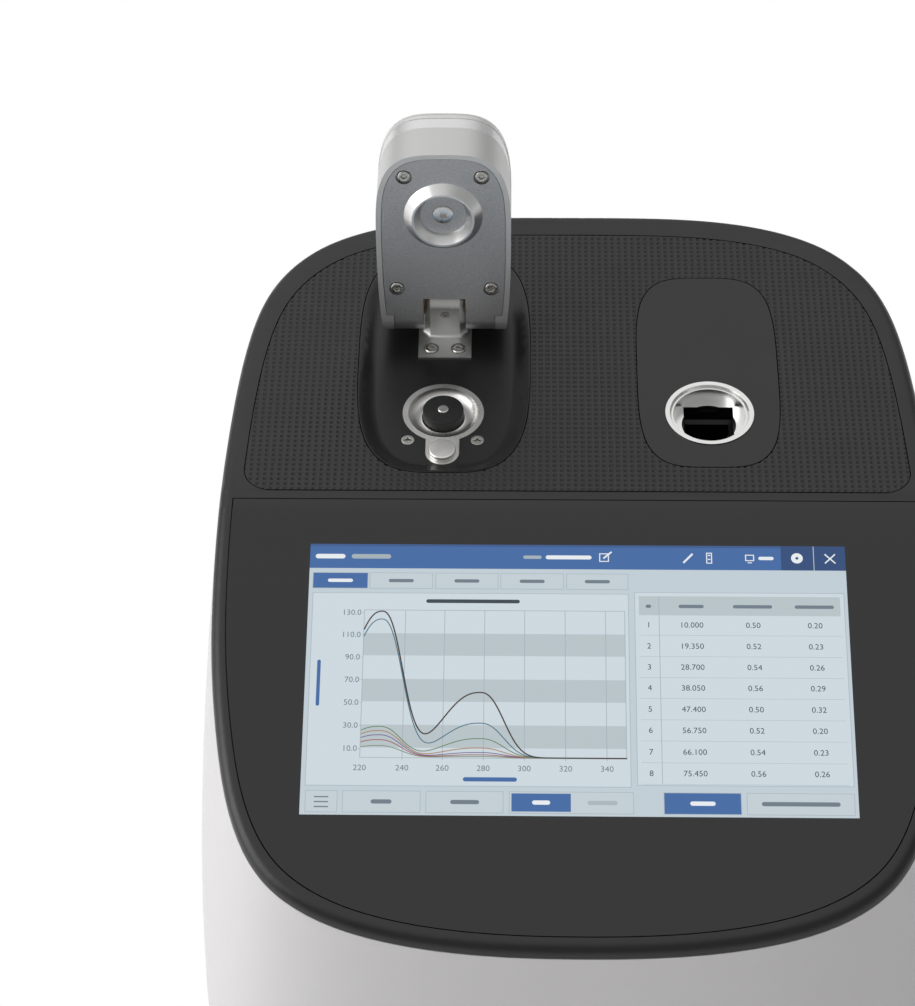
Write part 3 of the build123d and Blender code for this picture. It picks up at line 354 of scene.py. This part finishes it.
def cut_to(piece, outline):
    """Keeps what lies inside the outline object, as a finished mesh."""
    cut = piece.modifiers.new("cut", "BOOLEAN")
    cut.operation = "INTERSECT"
    cut.object = outline
    cut.solver = "MANIFOLD"
    shaped = bpy.data.meshes.new_from_object(piece.evaluated_get(bpy.context.evaluated_depsgraph_get()))
    piece.modifiers.clear()
    piece.data = shaped
    bpy.data.objects.remove(outline)


def pad_outline():
    """Merged copy of the plain pad, its upper face lifted, as the shape to cut to."""
    outline = bpy.data.objects.new("pad_outline", nodes["grip_pad"].data.copy())
    bpy.context.scene.collection.objects.link(outline)
    points = np.empty(3 * len(outline.data.vertices))
    outline.data.vertices.foreach_get("co", points)
    points = points.reshape(-1, 3)
    middle = (PAD_TOP - 0.5 * PAD_THICK) * MM
    points[points[:, 2] > middle, 2] += PAD_CUT_ABOVE * MM
    outline.data.vertices.foreach_set("co", points.ravel())
    weld = outline.modifiers.new("weld", "WELD")
    weld.merge_threshold = WELD_DISTANCE
    return outline


PAD_TOP = node_box("sample_tray")[1][2]
SEAM_Y = node_box("display_glass")[1][1] + SEAT_GAP
CURL_START = SEAM_Y - WIDEST_AHEAD + BACK_REACH - CURL_LENGTH
pad_low, pad_high = node_box("grip_pad")
row_line = SEAM_Y + ROW_LINE_FROM_SEAM
rows_before = math.ceil((row_line - pad_low[1]) / PIT_PITCH[1]) + 1
sheet_low = np.array([pad_low[0] - SHEET_MARGIN, row_line - rows_before * PIT_PITCH[1]])
points, faces = pit_sheet(sheet_low, pad_high[:2] + SHEET_MARGIN, PAD_TOP, CURL_START, CURL_RADIUS,
                          PAD_TOP - SHEET_UNDER)
embossed = finish("embossed_black_sheet", "1A1A1B", 0.42, grain=0.3, speck=0.08, uneven=0.04, relief=0.006)
grip_sheet = add_piece("grip_sheet", points, faces, [embossed], "housing")
cut_to(grip_sheet, pad_outline())
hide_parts("grip_pad")


# Display: a sheet of glass with black ink printed behind it, bonded over a seven
# inch panel. The lit picture is drawn flush with the glass, a few hundredths of a
# millimetre up, in flat shapes: bars, lines, curves and plain numbers.
SLOPE = math.radians(13.1)
PICTURE_WIDTH = 154.2
PICTURE_HEIGHT = 85.9
PICTURE_FROM_SEAM = 15.82
PICTURE_LIFT = 0.03
LAYER_LIFT = 0.02
PICTURE_LIGHT = 0.86
BLUE = "3567A8"
DEEP_BLUE = "2C5590"
NAVY = "15437A"
PALE = "C8D6DE"
PANEL = "D5E1E9"
BAND = "BECBD0"
RULE = "A9B6BE"
BUTTON = "CBD7DE"
EDGE = "B0BCC4"
INK = "2B3A48"
SOFT_INK = "6E7D8A"
WHITE = "F2F7FB"
BROWN = "3A2418"
TEAL = "3F6F86"
GREEN = "5C7F4A"
ORANGE = "B07A3C"
PURPLE = "6D5A92"
RED = "A0483C"
GREY_GREEN = "7C9270"

wear(finish("ink_printed_glass", "070708", 0.07, grain=0.5, speck=0.02, sockets={"IOR": 1.5}),
     "display_glass")
wear(finish("display_cell_frame", "9FA6AB", 0.32, 1.0, grain=1.0, speck=0.04), "display_module")
shapes = {}


def draw(colour, layer, points, faces):
    """Adds flat faces to the picture. Points are mm right of and below its top left corner."""
    shapes.setdefault(colour, []).append((layer, np.asarray(points, float), faces))


def bar(colour, layer, x0, y0, x1, y1, corner=0.0):
    """Rectangle; with a corner radius each corner is a quarter circle of six points."""
    if corner == 0:
        draw(colour, layer, [(x0, y0), (x1, y0), (x1, y1), (x0, y1)], [(0, 3, 2, 1)])
        return
    turn = np.linspace(0, math.pi / 2, 6)
    centres = ((x1 - corner, y1 - corner), (x0 + corner, y1 - corner), (x0 + corner, y0 + corner),
               (x1 - corner, y0 + corner))
    arcs = [np.column_stack([cx + corner * np.cos(turn + quarter * math.pi / 2),
                             cy + corner * np.sin(turn + quarter * math.pi / 2)])
            for quarter, (cx, cy) in enumerate(centres)]
    points = np.concatenate(arcs)
    draw(colour, layer, points, [tuple(range(len(points)))[::-1]])


def disc(colour, layer, x, y, radius):
    """Circle of 20 points."""
    turn = np.linspace(0, 2 * math.pi, 20, endpoint=False)
    draw(colour, layer, np.column_stack([x + radius * np.cos(turn), y + radius * np.sin(turn)]),
         [tuple(range(20))[::-1]])


def line(colour, layer, points, width):
    """Ribbon of one width along a row of points, offset to both sides by its normal."""
    points = np.asarray(points, float)
    way = np.gradient(points, axis=0)
    way /= np.linalg.norm(way, axis=1, keepdims=True)
    aside = np.column_stack([way[:, 1], -way[:, 0]]) * width / 2
    both = np.concatenate([points + aside, points - aside])
    index = np.arange(len(points) - 1)
    far = index + len(points)
    draw(colour, layer, both, np.column_stack([index, far, far + 1, index + 1]).tolist())


def frame_line(colour, layer, x0, y0, x1, y1, width):
    """Outline of a rectangle as four bars."""
    bar(colour, layer, x0, y0, x1, y0 + width)
    bar(colour, layer, x0, y1 - width, x1, y1)
    bar(colour, layer, x0, y0 + width, x0 + width, y1 - width)
    bar(colour, layer, x1 - width, y0 + width, x1, y1 - width)


def number(colour, layer, x, y, size, text, align="CENTER"):
    """Numerals from the built-in font, set by their middle height."""
    curve = bpy.data.curves.new("numeral", "FONT")
    curve.body = text
    curve.size = size
    curve.align_x = align
    curve.align_y = "CENTER"
    curve.resolution_u = 3
    holder = bpy.data.objects.new("numeral", curve)
    bpy.context.scene.collection.objects.link(holder)
    mesh = bpy.data.meshes.new_from_object(holder.evaluated_get(bpy.context.evaluated_depsgraph_get()))
    points = np.empty(3 * len(mesh.vertices))
    mesh.vertices.foreach_get("co", points)
    points = points.reshape(-1, 3)[:, :2] * np.array([1, -1]) + np.array([x, y])
    draw(colour, layer, points, [tuple(face.vertices) for face in mesh.polygons])
    bpy.data.objects.remove(holder)
    bpy.data.curves.remove(curve)
    bpy.data.meshes.remove(mesh)


def words(colour, layer, x0, x1, y, height=1.1):
    """Plain rounded bar where a device shows a word."""
    bar(colour, layer, x0, y - height / 2, x1, y + height / 2, height / 2)


def bell(x, centre, left, right, height):
    """Bell curve with its own width on each side: height times e to minus (distance / width) to the 2.4."""
    width = np.where(x < centre, left, right)
    return height * np.exp(-(np.abs(x - centre) / width)**2.4)


def trace(colour, layer, peak, hump, width=0.34):
    """Absorbance curve: a first peak, a second hump, both over the base line."""
    x = np.linspace(PLOT_LEFT + 0.1, PLOT_RIGHT, 130)
    rise = bell(x, 21.3, 11.4, 8.0, peak) + bell(x, 49.6, 13.6, 8.4, hump)
    line(colour, layer, np.column_stack([x, PLOT_BASE - rise]), width)


PLOT_LEFT = 16.2
PLOT_RIGHT = 90.6
PLOT_TOP = 21.6
PLOT_BASE = 68.3
bar(PALE, 0, 0, 0, PICTURE_WIDTH, PICTURE_HEIGHT)
bar(BLUE, 1, 0, 0, 135.7, 8.0)
bar(DEEP_BLUE, 2, 0, 0, 135.7, 0.7)
bar(NAVY, 1, 135.7, 0, 145.0, 8.0)
bar(NAVY, 1, 145.2, 0, PICTURE_WIDTH, 8.0)
words(WHITE, 3, 1.6, 10.2, 4.1, 1.5)
words(RULE, 3, 12.0, 23.4, 4.1, 1.5)
words(RULE, 3, 61.5, 66.8, 4.1)
words(WHITE, 3, 68.0, 81.2, 4.1, 1.3)
frame_line(WHITE, 3, 83.4, 2.7, 86.2, 5.5, 0.3)
line(WHITE, 4, [(84.6, 4.4), (87.0, 2.2)], 0.5)
line(WHITE, 3, [(107.6, 5.7), (110.3, 2.7)], 0.6)
frame_line(WHITE, 3, 114.2, 2.3, 115.9, 5.9, 0.3)
bar(WHITE, 3, 114.7, 3.0, 115.4, 3.4)
bar(WHITE, 3, 114.7, 4.3, 115.4, 4.7)
frame_line(WHITE, 3, 125.4, 2.9, 128.0, 5.0, 0.3)
bar(WHITE, 3, 126.1, 5.4, 127.3, 5.7)
words(WHITE, 3, 129.2, 133.6, 4.1)
disc(WHITE, 3, 140.3, 4.0, 1.7)
disc(NAVY, 4, 140.3, 4.0, 0.45)
line(WHITE, 3, [(148.3, 2.6), (151.3, 5.6)], 0.4)
line(WHITE, 3, [(148.3, 5.6), (151.3, 2.6)], 0.4)

TAB_LEFT = (1.0, 17.4, 36.3, 55.0, 73.9)
TAB_RIGHT = (17.0, 35.6, 54.4, 73.2, 91.7)
for index, (left, right) in enumerate(zip(TAB_LEFT, TAB_RIGHT)):
    bar(EDGE, 1, left, 9.4, right, 14.7)
    bar(BLUE if index == 0 else BUTTON, 2, left + 0.2, 9.6, right - 0.2, 14.5)
    words(WHITE if index == 0 else SOFT_INK, 3, (left + right) / 2 - 3.6, (left + right) / 2 + 3.6, 12.05)

bar(EDGE, 1, 1.2, 16.0, 91.7, 77.1)
bar(PANEL, 2, 1.4, 16.2, 91.5, 76.9)
words(INK, 3, 33.8, 60.6, 18.7, 1.2)
for low in (29.2, 43.8, 58.2):
    bar(BAND, 3, PLOT_LEFT, low, PLOT_RIGHT, low + 7.1)
GRID_X = (28.0, 39.2, 50.6, 62.0, 73.5, 85.0)
for x in GRID_X:
    bar(RULE, 4, x - 0.1, PLOT_TOP, x + 0.1, PLOT_BASE + 0.8)
frame_line(RULE, 4, PLOT_LEFT - 0.1, PLOT_TOP, PLOT_RIGHT, PLOT_BASE + 0.2, 0.2)
for index in range(7):
    number(SOFT_INK, 5, 15.4, 22.6 + 7.18 * index, 2.5, f"{130 - 20 * index}.0", "RIGHT")
    bar(RULE, 4, 15.7, 22.5 + 7.18 * index, PLOT_LEFT, 22.7 + 7.18 * index)
for index, x in enumerate((PLOT_LEFT, *GRID_X)):
    number(SOFT_INK, 5, x, 71.6, 2.5, str(220 + 20 * index))
words(BLUE, 3, 45.0, 60.0, 74.9, 1.3)
bar(BLUE, 3, 3.3, 37.8, 4.3, 52.4, 0.49)
trace(GREY_GREEN, 5, 3.6, 0.4, 0.26)
trace(RED, 6, 5.4, 0.9, 0.26)
trace(PURPLE, 7, 6.9, 1.6, 0.26)
trace(ORANGE, 8, 8.2, 3.0, 0.26)
trace(GREEN, 9, 9.5, 5.9, 0.26)
trace(TEAL, 10, 43.6, 10.7, 0.3)
trace(BROWN, 11, 46.1, 20.3, 0.4)

bar(EDGE, 1, 93.3, 15.4, 153.3, 76.5)
bar(PANEL, 2, 93.5, 15.6, 153.1, 76.3)
bar(BAND, 3, 94.6, 16.7, 152.0, 22.9)
bar(RULE, 4, 100.2, 16.7, 100.4, 75.9)
TABLE_COLUMNS = (97.3, 109.5, 127.0, 144.6)
TABLE_ROWS = (26.1, 32.9, 39.6, 46.2, 52.9, 59.5, 66.2, 72.8)
for column, half in zip(TABLE_COLUMNS, (0.8, 3.6, 5.6, 5.6)):
    words(SOFT_INK, 5, column - half, column + half, 20.0)
for index, y in enumerate(TABLE_ROWS):
    number(INK, 5, TABLE_COLUMNS[0], y, 2.5, str(1 + index))
    number(INK, 5, TABLE_COLUMNS[1], y, 2.5, f"{10 + 9.35 * index:.3f}")
    number(INK, 5, TABLE_COLUMNS[2], y, 2.5, f"{0.5 + 0.02 * (index % 4):.2f}")
    number(INK, 5, TABLE_COLUMNS[3], y, 2.5, f"{0.2 + 0.03 * (index % 5):.2f}")
    bar(RULE, 4, 94.6, y + 3.2, 152.0, y + 3.3)

for left, right, colour in ((1.4, 10.4, BUTTON), (11.7, 33.4, BUTTON), (34.8, 56.3, BUTTON),
                            (57.8, 92.3, BUTTON), (100.5, 122.0, BLUE), (123.4, 153.2, BUTTON)):
    bar(EDGE, 1, left, 78.5, right, 85.2)
    bar(colour, 2, left + 0.2, 78.7, right - 0.2, 85.0)
bar(BLUE, 3, 58.5, 79.1, 74.9, 84.6)
for y in (80.3, 81.8, 83.3):
    bar(SOFT_INK, 3, 3.9, y, 7.9, y + 0.4)
for left, right, colour in ((19.6, 25.4, SOFT_INK), (41.6, 49.6, SOFT_INK), (64.2, 69.2, WHITE),
                            (79.5, 87.8, EDGE), (107.8, 114.8, WHITE), (127.5, 149.2, SOFT_INK)):
    words(colour, 4, left, right, 81.85, 1.3)


def picture_piece():
    """Lays the flat shapes on the slope, each layer a little above the last, with one
    material for each colour."""
    points, faces, part_of, materials = [], [], [], []
    start = 0
    for index, (colour, parts) in enumerate(shapes.items()):
        light = {"Emission Color": linear(colour), "Emission Strength": PICTURE_LIGHT}
        materials.append(finish("lit_pixels_" + colour, "050505", 0.08, sockets=light))
        for layer, flat, flat_faces in parts:
            down = PICTURE_FROM_SEAM + flat[:, 1]
            lift = PICTURE_LIFT + LAYER_LIFT * layer
            points.append(np.column_stack([
                flat[:, 0] - PICTURE_WIDTH / 2,
                SEAM_Y - down * math.cos(SLOPE) - lift * math.sin(SLOPE),
                PAD_TOP - down * math.sin(SLOPE) + lift * math.cos(SLOPE)]))
            faces += [tuple(start + corner for corner in face) for face in flat_faces]
            part_of += [index] * len(flat_faces)
            start += len(flat)
    add_piece("screen_picture", np.concatenate(points), faces, materials, "housing", False, part_of)


picture_piece()


# Sample station: a keyhole plate of stainless steel with a polished bowl, a black
# acetal puck round the lower fibre, its steel ferrule, and a steel rest button.
# Two countersunk cross-head screws hold the plate to the tray.
RING_COUNT = 72
TRAY_SCREW_X = 10.35
TRAY_SCREW_AHEAD = 11.6
TRAY_SCREW_SUNK = 0.02

wear(finish("satin_stainless", "E2E1DE", 0.30, 1.0, grain=0.2, speck=0.03, uneven=0.05, relief=0.002),
     "pedestal_plate", "rest_button")
wear(finish("polished_stainless", "D9D8D5", 0.16, 1.0, grain=0.2, speck=0.02),
     "sample_ferrule", "lift_carriage", "hinge_pin", "arm_ferrule")
wear(finish("turned_black_acetal", "0B0B0C", 0.5, grain=0.45, speck=0.5, relief=0.05), "pedestal_puck")
wear(finish("cast_aluminium_module", "9A9B9D", 0.48, 1.0, grain=0.8, speck=0.08, relief=0.02),
     "path_actuator", "spectrometer", "flash_lamp")


def rings_to_faces(ring_total, count):
    """Quads between neighbouring rings that face away from the axis, and one face over each open end."""
    ring, column = np.meshgrid(np.arange(ring_total - 1), np.arange(count), indexing="ij")
    after = (column + 1) % count
    quads = np.stack([ring * count + column, (ring + 1) * count + column, (ring + 1) * count + after,
                      ring * count + after], axis=-1).reshape(-1, 4)
    first = list(range(count))
    last = ((ring_total - 1) * count + np.arange(count))[::-1].tolist()
    return quads.tolist() + [first, last]


def driven_screw(radius, height, edge, recess, lobes, lobe_share, depth, shank, length):
    """Screw about +Z, as rings from its drive recess outwards and down. The recess is the circle
    r = recess (1 + share cos(lobes turn)). A head with no height is countersunk at 45 degrees."""
    turn = np.linspace(0, 2 * math.pi, RING_COUNT, endpoint=False)
    lobe = recess * (1 + lobe_share * np.cos(lobes * turn))
    rings = [(0.80 * lobe, height - depth), (0.93 * lobe, height - 0.25 * depth),
             (1.06 * lobe, height - 0.02)]
    for share in (0.15, 0.55, 1.0):
        rings.append((1.08 * lobe + share * (radius - edge - 1.08 * lobe), height))
    for angle in np.linspace(0, math.pi / 2, 6)[1:]:
        rings.append((radius - edge + edge * math.sin(angle), height - edge * (1 - math.cos(angle))))
    if height > edge:
        rings.append((radius, 0.0))
    rings.append((shank, 0.0 if height > 0 else -(radius - shank)))
    rings.append((shank, -length))
    rows = [np.column_stack([reach * np.cos(turn), reach * np.sin(turn), np.full(RING_COUNT, level)])
            for reach, level in rings]
    return np.concatenate(rows), rings_to_faces(len(rings), RING_COUNT)


def set_screws(name, screw, places, body, node):
    """Copies one screw to each place, given as a matrix in mm, and stands for the plain node."""
    points, faces = screw
    all_points, all_faces = [], []
    for index, place in enumerate(places):
        turned = np.array(place)
        all_points.append(points @ turned[:3, :3].T + turned[:3, 3])
        all_faces += [tuple(index * len(points) + corner for corner in face) for face in faces]
    piece = add_piece(name, np.concatenate(all_points), all_faces, [stainless], body, True)
    split = piece.modifiers.new("folds", "EDGE_SPLIT")
    split.split_angle = FOLD_ANGLE
    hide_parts(node)


puck_low, puck_high = node_box("pedestal_puck")
station = (puck_low + puck_high) / 2
TRAY_FLOOR = node_box("pedestal_plate")[1][2]
flush_screw = driven_screw(radius=1.95, height=0.0, edge=0.08, recess=0.72, lobes=4, lobe_share=0.42,
                           depth=0.9, shank=1.1, length=6.0)
flush_screw[0][:, 2] -= TRAY_SCREW_SUNK
tray_places = [Matrix.Translation((station[0] + side * TRAY_SCREW_X, station[1] - TRAY_SCREW_AHEAD,
                                   TRAY_FLOOR)) for side in (-1, 1)]
set_screws("tray_cross_screws", flush_screw, tray_places, "housing", "tray_screws")


# Hinge: a machined aluminium bracket, bead-blasted and clear anodised, held by two
# pan-head screws; the pin turns in two flanged sintered bronze bushes.
BRACKET_SCREW_X = 4.15
BRACKET_SCREW_AHEAD = 10.4
BRACKET_SEAT_SUNK = 0.6
hinge = np.array([joint for joint in frame["joints"] if joint["name"] == "arm_hinge"][0]["pos_m"]) / MM
wear(finish("bead_blasted_bright", "DEDEDC", 0.40, 1.0, grain=0.3, speck=0.05, relief=0.006), "hinge_bracket")
wear(finish("sintered_bronze", "8B7455", 0.45, 1.0, grain=0.2, speck=0.12), "hinge_bushes")
wear(stainless, "hinge_grub_screw")
pan_screw = driven_screw(radius=2.05, height=1.5, edge=0.7, recess=0.85, lobes=6, lobe_share=0.16,
                         depth=0.8, shank=1.1, length=3.0)
bracket_places = [Matrix.Translation((hinge[0] + side * BRACKET_SCREW_X, hinge[1] - BRACKET_SCREW_AHEAD,
                                      TRAY_FLOOR - BRACKET_SEAT_SUNK)) for side in (-1, 1)]
set_screws("bracket_star_screws", pan_screw, bracket_places, "housing", "bracket_screws")


# Arm: a cast frame painted metallic silver, a lighter polished band, a domed cover,
# and a bead-blasted aluminium plate let into the underside with four screws.
ARM_LEAN = math.radians(6)
PLATE_FACE = 9.3
ARM_SCREW_HEAD_HEIGHT = 1.2
ARM_SCREWS = ((-11.4, 51.4), (11.4, 51.4), (-14.2, 10.9), (14.2, 10.9))
wear(finish("silver_paint", "D9D9D8", 0.40, 0.85, grain=0.25, speck=0.05, relief=0.004), "arm_frame")
wear(finish("silver_paint_pale", "E9E9E7", 0.34, 0.7, grain=0.25, speck=0.03, relief=0.003), "arm_cover")
wear(finish("polished_light_band", "F0F0F0", 0.22, 0.8, grain=0.3, speck=0.02), "arm_band")
wear(finish("bead_blasted_plate", "BFC0C2", 0.44, 1.0, grain=0.36, speck=0.16, relief=0.014),
     "arm_plate", "optic_disc")
wear(finish("turned_satin_aluminium", "E4E4E3", 0.30, 1.0, grain=0.25, speck=0.04, relief=0.002),
     "optic_cup")
arm_axes = Matrix(((1, 0, 0, hinge[0]), (0, math.sin(ARM_LEAN), -math.cos(ARM_LEAN), hinge[1]),
                   (0, math.cos(ARM_LEAN), math.sin(ARM_LEAN), hinge[2]), (0, 0, 0, 1)))
plate_screw = driven_screw(radius=2.05, height=ARM_SCREW_HEAD_HEIGHT, edge=0.6, recess=0.85, lobes=6,
                           lobe_share=0.16, depth=0.7, shank=1.1, length=7.0)
arm_places = [arm_axes @ Matrix.Translation((across, along, PLATE_FACE - ARM_SCREW_HEAD_HEIGHT))
              for across, along in ARM_SCREWS]
set_screws("arm_star_screws", plate_screw, arm_places, "arm", "arm_plate_screws")


# Cuvette port: a bright turned aluminium cup in the flush pad, over the black
# anodised block with the square well.
wear(finish("turned_bright_aluminium", "E8E8E6", 0.26, 1.0, grain=0.25, speck=0.03), "cuvette_ring")
wear(finish("black_anodised", "0A0A0B", 0.34, grain=0.3, speck=0.1), "cuvette_holder")


# Inside and at the back: the green board, moulded black switch and inlet, and the
# tinned steel shells of the data sockets.
wear(finish("solder_mask_green", "1E5A38", 0.35, grain=2.0, speck=0.12), "main_board")
wear(finish("moulded_nylon_black", "161617", 0.38, grain=0.3, speck=0.06, relief=0.006), "power_switch",
     "power_rocker", "dc_inlet")
wear(finish("tinned_steel_shell", "BDBDB9", 0.28, 1.0, grain=0.6, speck=0.05, uneven=0.05), "usb_sockets",
     "network_socket")
